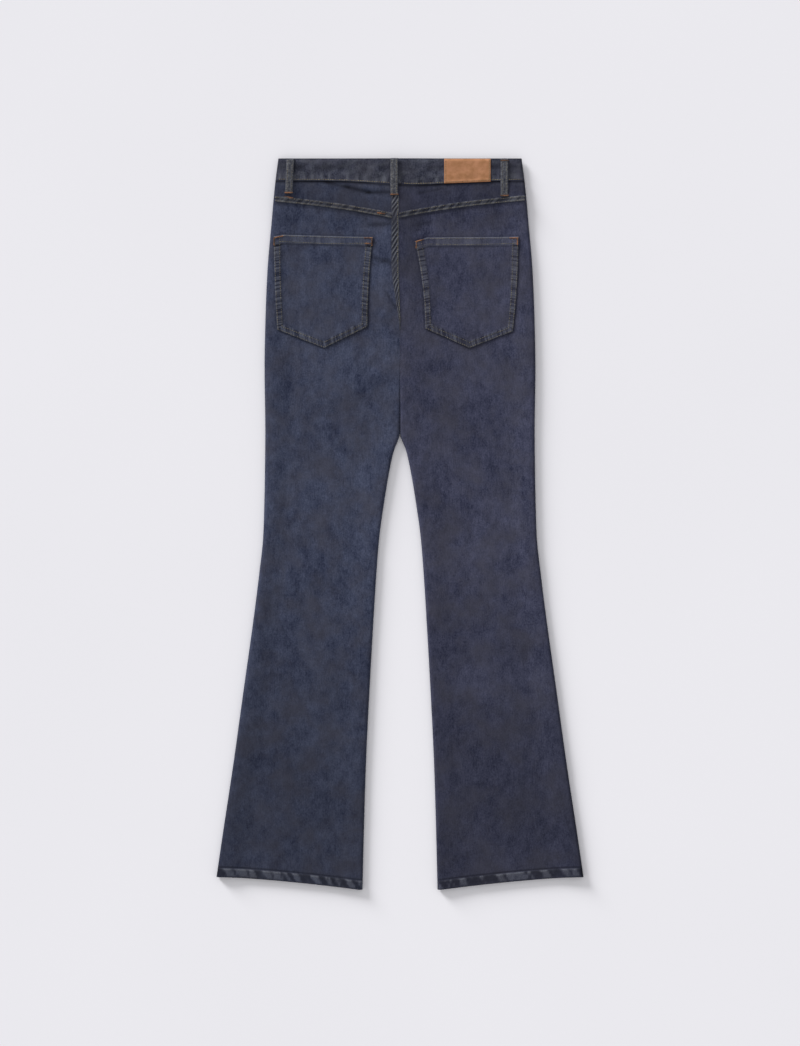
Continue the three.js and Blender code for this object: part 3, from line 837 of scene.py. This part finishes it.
BASE_SLOPE = 0.93  # the base slopes, so it is nearer than the drop to it


def pocket_place(side, across, t):
    """x and down at a share across the pocket and a share of the way down it."""
    spec = POCKETS[side]
    top, waist, base = spec["top"], spec["waist"], spec["base"]
    ax, cx = mix(top[0][0], top[-1][0], across), mix(base[0][0], base[-1][0], across)
    bx = mix(waist[0][0], waist[1][0], across)
    x = mix(ax, cx, t) + 4 * t * (1 - t) * (bx - (ax + cx) / 2)
    return x, mix(line_at(top, ax), line_at(base, cx), t)


def pocket_edges(side, across, t):
    """Distances in millimetres to the top, to the nearer side and to the base of the pocket."""
    spec = POCKETS[side]
    width = spec["top"][-1][0] - spec["top"][0][0]
    down = pocket_place(side, across, t)[1]
    from_top = down - pocket_place(side, across, 0)[1]
    to_base = pocket_place(side, across, 1)[1] - down
    return from_top, min(across, 1 - across) * width, to_base * BASE_SLOPE


def pocket_top(side, across, t):
    """Place of a point of a pocket's outer face, with what its shading is worked out from."""
    x, down = pocket_place(side, across, t)
    from_top, from_side, from_base = pocket_edges(side, across, t)
    inner = min(from_side, from_base)
    rope = ripple((down if from_side < from_base else x) / 2.1 + inner / 12, 20.0 if side == "left" else 27.0)
    allowance = smooth((POCKET_ALLOWANCE - inner) / 2.5)
    hem = smooth((POCKET_HEM - from_top) / 1.5)
    edge = smooth(min(inner, from_top) / 1.6)
    z = back_top(x, down) + 1.25 + 0.55 * allowance + 0.5 * hem
    z += (0.3 * rope * allowance * smooth(inner / 3) + 0.2 * ripple(x / 6, 2.0) * hem) * edge
    z -= 0.55 * (1 - edge)
    return x, down, z, inner, from_top, rope, allowance, hem


def pocket(side, material):
    """A back pocket: puckered over the cloth turned in at its edges, with a doubled hem at its top, and
    painted shade in its puckers, along the inner edge of the turned-in cloth and just below the hem.
    """
    across_shares = spread(0, 1, 1 / 112)
    down_shares = spread(0, 1, 1 / 124)

    def place(across, t):
        x, down, z, inner, from_top, rope, allowance, hem = pocket_top(side, across, t)
        crest = smooth(0.5 + 0.9 * rope)
        body = 1 - hem
        wear = body * allowance * 0.34 * crest + 0.3 * near_line(inner - 0.7, 0.8)
        wear += 0.3 * near_line(from_top - 0.9, 0.9) + hem * (0.10 + 0.1 * ripple(x / 5, 71.0))
        wear += 0.16 * near_line(from_top - POCKET_HEM + 1.6, 1.2)
        # Painted shade in the puckers, along the inner edge of the turned-in cloth and just below the hem.
        dark = body * allowance * (0.16 + 0.42 * (1 - crest))
        dark += 0.16 * near_line(inner - POCKET_ALLOWANCE, 1.6) * body
        dark += 0.4 * near_line(from_top - POCKET_HEM - 1.0, 1.2)
        return x, down, z, wear, dark

    return cloth(f"back_pocket_{side}", across_shares, down_shares, place, material, 1.1, bevel=0.25)


def pocket_lines(side):
    """Stitch lines of a pocket: two round the sides and base, and two along the top hem."""
    spec = POCKETS[side]
    width = spec["top"][-1][0] - spec["top"][0][0]
    depth = spec["base"][1][1] - spec["top"][-1][1]
    lines = []
    for inset in EDGE_ROWS:
        u, v = inset / width, 1 - inset / depth
        path = [pocket_place(side, u, t) for t in spread(0.012, v, 0.02)]
        tip = (spec["base"][1][0] - spec["base"][0][0]) / (spec["base"][2][0] - spec["base"][0][0])
        path += [pocket_place(side, s, v) for s in (tip, 1 - u)]
        path += [pocket_place(side, 1 - u, t) for t in reversed(spread(0.012, v, 0.02))]
        lines.append(path)
    for drop in HEM_ROWS:
        t = drop / depth
        lines.append([pocket_place(side, s, t) for s in spread(0.01, 0.99, 0.02)])
    return lines


def pocket_surface(side):
    """Gives the function top(x, down): the height of a pocket's outer face at any place on it."""
    spec = POCKETS[side]

    def top(x, down):
        left, right = pocket_bounds(side, down)
        across = clamp((x - left) / (right - left))
        ax = mix(spec["top"][0][0], spec["top"][-1][0], across)
        cx = mix(spec["base"][0][0], spec["base"][-1][0], across)
        upper, lower = line_at(spec["top"], ax), line_at(spec["base"], cx)
        t = clamp((down - upper) / (lower - upper))
        return pocket_top(side, across, t)[2]

    return top


# ---------------------------------------------------------------- waistband, loops and patch

LAP = 16.0
BAND_HALF = 174.0


def band_stations():
    """Columns round the waistband: face, place across from -1 to 1, turn, side, inset of the skin."""
    stations = []
    turns = (15, 30, 45, 60, 75, 90)
    stations += [("front", mix(LAP, -LAP, k / 8) / BAND_HALF, 0, 0, BAND * 0.6) for k in range(9)]
    stations += [("front", mix(-LAP / BAND_HALF - 0.01, -1, k / 40), 0, 0, 0) for k in range(41)]
    stations += [("front", -1, turn, -1, 0) for turn in turns]
    stations += [("back", -1, turn, -1, 0) for turn in reversed(turns[:-1])]
    stations += [("back", mix(-1, 1, k / 270), 0, 0, 0) for k in range(271)]
    stations += [("back", 1, turn, 1, 0) for turn in turns]
    stations += [("front", 1, turn, 1, 0) for turn in reversed(turns[:-1])]
    stations += [("front", mix(1, -LAP / BAND_HALF, k / 44), 0, 0, 0) for k in range(45)]
    return stations


def band_relief(x, from_top, depth):
    """Puckers of the waistband: fine ones down from the lower stitch row, and a roll along its top."""
    from_low = depth - from_top
    pucker = ripple(x / 6.4, 31.0)
    low_zone = smooth((15 - from_low) / 11) * smooth(from_low / 3)
    roll = 0.9 * near_line(from_top, 2.6)
    ridge = 0.35 * near_line(from_low - 1.6, 1.6)
    long_wave = 0.22 * noise.noise(Vector((x / 30, from_top / 9, 4.0)))
    return 0.34 * pucker * low_zone - roll + ridge + long_wave, pucker, low_zone, from_low


def band_top(x, down):
    depth = band_edge(x)
    return BAND_STACK + lift(x, down) + band_relief(x, down, depth)[0]


def waistband():
    """The waistband as one strip round the tube, its ends lapped at the middle of the front."""
    rows = spread(0, 1, 1 / 30)

    def place(station, share):
        face, at, turn, side, inset = station
        width = outer_at(share * BAND_DEPTH) - FOLD
        angle = math.radians(turn)
        x = at * width + side * FOLD * math.sin(angle)
        depth = BAND_DEPTH if face == "front" else band_edge(x)
        start = front_dip(x) if face == "front" else 0
        down = start + share * depth
        base = 0 if face == "front" else BAND_STACK
        z = mix(base, BAND_STACK / 2, 1 - math.cos(angle)) + lift(x, down) + inset
        wear = dark = 0.0
        if face == "back":
            height, pucker, low_zone, from_low = band_relief(x, share * depth, depth)
            z += height * math.cos(angle)
            wear = 0.02 + 0.34 * low_zone * smooth(pucker) + 0.24 * near_line(from_low - 0.9, 0.8)
            wear += 0.13 * smooth(0.2 + ripple(x / 14, 40 + down / 7))
            # Painted shade in the troughs of the puckers and along the rolled top edge; then a soft mottled
            # darker band across the band; then painted shade where it turns round the folded sides.
            dark = 0.2 * low_zone * smooth(-pucker) + 0.4 * near_line(share * depth, 1.6)
            dark += 0.45 * near_line(share * depth - 13, 4.5) * smooth(0.6 + ripple(x / 17, 90 + down / 12))
            dark += 0.3 * smooth((abs(x) / outer_at(down) - 0.97) / 0.03)
        else:
            z += 0.8 * near_line(share * depth, 2.0) * math.cos(angle)
        return x, down, z, wear, dark

    return cloth("waistband", band_stations(), rows, place, DENIM_BAND, BAND * 0.9, bevel=0.35, faces="round")


def loop_profile(top_x, low_x, length, down):
    """Height of a belt loop over the cloth: flat at its sewn ends, arched between them."""
    t = clamp(down / length)
    x = mix(top_x, low_x, t)
    over_band = band_top(x, min(down, band_edge(x))) + LOOP
    over_yoke = back_top(x, max(down, band_edge(x) + 1)) + LOOP
    step = smooth((down - band_edge(x) + 6) / 13)
    return max(mix(over_band, over_yoke, step), over_yoke) + 1.1 * math.sin(math.pi * t) ** 0.8


def back_loop(name, top_x, low_x, length):
    columns = spread(-1, 1, 1 / 7)
    rows = spread(0.0, length, 0.8)

    def place(share, down):
        t = down / length
        x = mix(top_x, low_x, t) + share * LOOP_WIDTH / 2
        z = loop_profile(top_x, low_x, length, down)
        z += 0.25 * (1 - share * share) - 0.5 * smooth((abs(share) - 0.72) / 0.28)
        z -= 1.2 * near_line(down, 1.4)
        speckle = ripple(down / 1.1, 50 + 3 * share + top_x) * 0.5 + 0.5
        wear = 0.10 + 0.42 * speckle
        dark = 0.38 * (1 - speckle) + 0.3 * near_line(share, 0.18)
        # Painted shade where the loop's edges round down to the cloth.
        dark += 0.3 * smooth((abs(share) - 0.86) / 0.14)
        return x, down, z, wear, dark

    return cloth(name, columns, rows, place, DENIM_SEAM, LOOP * 0.85, bevel=0.3)


def front_loop(name, top_x, low_x, length):
    rows = spread(0, 1, 1 / 40)

    def place(share, t):
        x = mix(top_x, low_x, t) + share * LOOP_WIDTH / 2
        down = front_dip(top_x) + 0.4 + t * length
        return x, down, 0.12 * share * share, 0.3 + 0.2 * ripple(t * 30, 60), 0.0

    return cloth(name, spread(-1, 1, 1 / 4), rows, place, DENIM_SEAM, LOOP, bevel=0.3, faces="down")


def patch_low(x):
    t = (x - PATCH["left"]) / (PATCH["right"] - PATCH["left"])
    return mix(PATCH["low_left"], PATCH["low_right"], t)


def patch_top(x, down):
    over = BAND_STACK + lift(x, down) + 0.2
    if down < band_edge(x):
        over = band_top(x, min(down, band_edge(x) - 1))
    wave = 0.25 * noise.noise(Vector((x / 22, down / 16, 9.0)))
    return max(over, BAND_STACK + lift(x, down) - 0.6) + LEATHER + 0.1 + wave


def leather_patch():
    columns = spread(PATCH["left"], PATCH["right"], 1.0)
    rows = spread(0, 1, 1 / 34)

    def place(x, t):
        down = mix(0.3, patch_low(x), t)
        rim = min(x - PATCH["left"], PATCH["right"] - x, (1 - t) * patch_low(x))
        z = patch_top(x, down) - 0.35 * (1 - smooth(rim / 2.0)) - 1.0 * near_line(down, 1.6)
        dark = 0.35 * (1 - smooth(rim / 1.3)) + 0.25 * near_line(rim - 2.4, 0.7)
        return x, down, z, 0.0, dark

    return cloth("patch", columns, rows, place, LEATHER_TAN, LEATHER, bevel=0.25)


# ---------------------------------------------------------------- making the garment

LOOP_ROW = 3.22  # stitch rows of a loop, to each side of its middle
PATCH_ROW = 2.2  # stitch row of the patch, in from its edge


def carry(piece, slot, nodes=()):
    """Fixes a piece to the garment and hides the frame's solids that it stands for. Its finish, slot, is not
    used.
    """
    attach(piece, "root")
    if nodes:
        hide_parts(*nodes)
    return piece


def declare(piece):
    """Removes the area that cloth() stored on a piece as its cut."""
    del piece["cut"]


for side, hand, material in (("left", -1, DENIM_LEFT), ("right", 1, DENIM_RIGHT)):
    front = leg_panel(
        f"front_{side}", "front", hand, BAND_DEPTH + 5, lambda x: front_dip(x) + BAND_DEPTH - 2,
        material, 30, 9.0,
    )
    carry(front, "denim", [f"front_{side}"])
    declare(front)
    back = leg_panel(
        f"back_{side}", "back", hand, YOKE["centre"] - 10, lambda x: yoke_edge(x) + SEAM_GAP / 2,
        material, 84, 3.1,
    )
    carry(back, "denim", [f"back_{side}"])
    declare(back)
    upper = yoke(f"yoke_{side}", hand, material)
    carry(upper, "denim", [f"yoke_{side}"])
    declare(upper)
    seam = yoke_seam(f"yoke_seam_{side}", hand)
    carry(seam, "denim")
    declare(seam)
    patch_pocket = pocket(side, material)
    carry(patch_pocket, "denim", [f"back_pocket_{side}"])
    declare(patch_pocket)

seat = carry(seat_seam(), "denim")
declare(seat)
band = carry(waistband(), "denim", ["waistband"])
declare(band)
for name, face, top_x, low_x, length in LOOPS:
    make_loop = back_loop if face == "back" else front_loop
    loop = make_loop(name, top_x, low_x, length)
    carry(loop, "denim", [name])
    declare(loop)
label = carry(leather_patch(), "patch_leather", ["patch"])
declare(label)

# Topstitching
band_line = [(x, band_edge(x) - 1.7) for x in spread(-178, 178, 4)]
carry(stitching("stitches_waistband", [band_line], band_top, THREAD_TAN, 1), "denim")

yoke_lines = []
for offset in (-2.6, 2.2):
    yoke_lines.append([(x, yoke_edge(x) + offset) for x in spread(-183, SEAT_SHIFT["x"] - 5, 4)])
    yoke_lines.append([(x, yoke_edge(x) + offset) for x in spread(SEAT_SHIFT["x"] + 6, 184, 4)])
carry(
    stitching("stitches_yoke", yoke_lines, lambda x, down: yoke_seam_top(x, down) + 0.15, THREAD_DULL, 2),
    "denim",
)


def seat_top(x, down):
    """Height of the seat seam, without its roping."""
    return back_top(x, down) + 1.1 - seat_sink(down)


seat_line = [(seat_middle(d) + SEAT_ROW * seat_half(d), d) for d in spread(60, 240, 4)]
carry(stitching("stitches_seat", [seat_line], seat_top, THREAD_DULL, 3), "denim")

for side in ("left", "right"):
    rows_of_thread = pocket_lines(side)
    surface = pocket_surface(side)
    carry(stitching(f"stitches_pocket_{side}", rows_of_thread, surface, THREAD_DULL, 4), "denim")

loop_lines = []
for name, face, top_x, low_x, length in BACK_LOOPS:
    for aside in (-LOOP_ROW, LOOP_ROW):
        loop_lines.append([(mix(top_x, low_x, d / length) + aside, d) for d in spread(2, length - 1, 4)])


def loop_top(x, down):
    """Height of the back loop that is nearest to a place."""
    name, face, top_x, low_x, length = min(BACK_LOOPS, key=lambda spec: abs(spec[2] - x))
    return loop_profile(top_x, low_x, length, down) + 0.15


carry(stitching("stitches_loops", loop_lines, loop_top, THREAD_DULL, 6), "denim")

left, right = PATCH["left"] + PATCH_ROW, PATCH["right"] - PATCH_ROW
patch_line = [
    (left, 3), (left, PATCH["low_left"] - PATCH_ROW), (right, PATCH["low_right"] - PATCH_ROW), (right, 3),
]
carry(stitching("stitches_patch", [patch_line], lambda x, d: patch_top(x, d) - 0.1, THREAD_TAN, 7), "denim")

tacks = [(low_x, length - 1.6, 0, 11) for name, face, top_x, low_x, length in BACK_LOOPS]
tacks.append((152.6, 3.2, 0, 11))
carry(bartacks("bartacks_loops", tacks, loop_top, THREAD_TACK), "denim")
seam_tacks = [(-162.6, 57, -9, 12), (-27.5, 80.6, -9, 11)]
carry(bartacks("bartacks_yoke", seam_tacks, yoke_seam_top, THREAD_TACK), "denim")
pocket_tacks = {
    "left": [
        (-177.5, 114.9, 12, 13), (-46.5, 116.2, 0, 12), (-46.5, 124.5, 0, 9), (-41.2, 123, 90, 9),
        (-184, 122, 90, 10),
    ],
    "right": [(28.5, 120.2, 16, 12), (166.5, 116.4, 0, 12), (171.6, 122, 90, 9), (24, 127, 84, 8)],
}
for side, places in pocket_tacks.items():
    carry(bartacks(f"bartacks_pocket_{side}", places, pocket_surface(side), THREAD_TACK), "denim")

for node, material in (("button", BRASS), ("zip_slider", BRASS), ("zip", TAPE)):
    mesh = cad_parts[node].data
    mesh.materials.clear()
    mesh.materials.append(material)


# ---------------------------------------------------------------- table, light and camera

TABLE_HALF = 40.0  # half the table's size, in metres, so that no view sees its end close by
TABLE_GAP = 0.3  # the table is this far below the garment, so that their faces don't meet
SKY = 0.645
KEY = {"strength": 4.3, "elevation": 15, "azimuth": 132, "angle": 20}
BACKDROP = "#eae9ee"
LENS = 85
SENSOR = 36
VIEW_HEIGHT = 1.5325  # metres from top to bottom of the view
VIEW_CENTRE = 0.0016

bm = bmesh.new()
bmesh.ops.create_grid(bm, x_segments=1, y_segments=1, size=TABLE_HALF)
table = finish_mesh("table_top", bm, pale_laminate(), smooth_faces=False)
table.data.transform(Matrix.Translation((0, 0, -TABLE_GAP * MM)))

world = bpy.data.worlds.new("studio")
world.use_nodes = True
sky = world.node_tree
seen = add_node(sky, "ShaderNodeLightPath").outputs["Is Camera Ray"]
glow = blend(sky, "MIX", seen, (SKY, SKY, SKY, 1), linear(BACKDROP))
sky.links.new(glow, sky.nodes["Background"].inputs["Color"])
bpy.context.scene.world = world

key_light = bpy.data.lights.new("key", "SUN")
key_light.energy = KEY["strength"]
key_light.angle = math.radians(KEY["angle"])
lamp = bpy.data.objects.new("key", key_light)
azimuth = math.radians(KEY["azimuth"])
elevation = math.radians(KEY["elevation"])
level = math.cos(elevation)
towards = Vector((math.cos(azimuth) * level, math.sin(azimuth) * level, math.sin(elevation)))
lamp.rotation_euler = towards.to_track_quat("Z", "Y").to_euler()
bpy.context.scene.collection.objects.link(lamp)

camera_data = bpy.data.cameras.new("camera")
camera_data.lens = LENS
camera_data.sensor_width = SENSOR
camera = bpy.data.objects.new("camera", camera_data)
camera.location = (0, VIEW_CENTRE, VIEW_HEIGHT * LENS / SENSOR)
bpy.context.scene.collection.objects.link(camera)
bpy.context.scene.camera = camera
bpy.context.scene.view_settings.view_transform = "Standard"
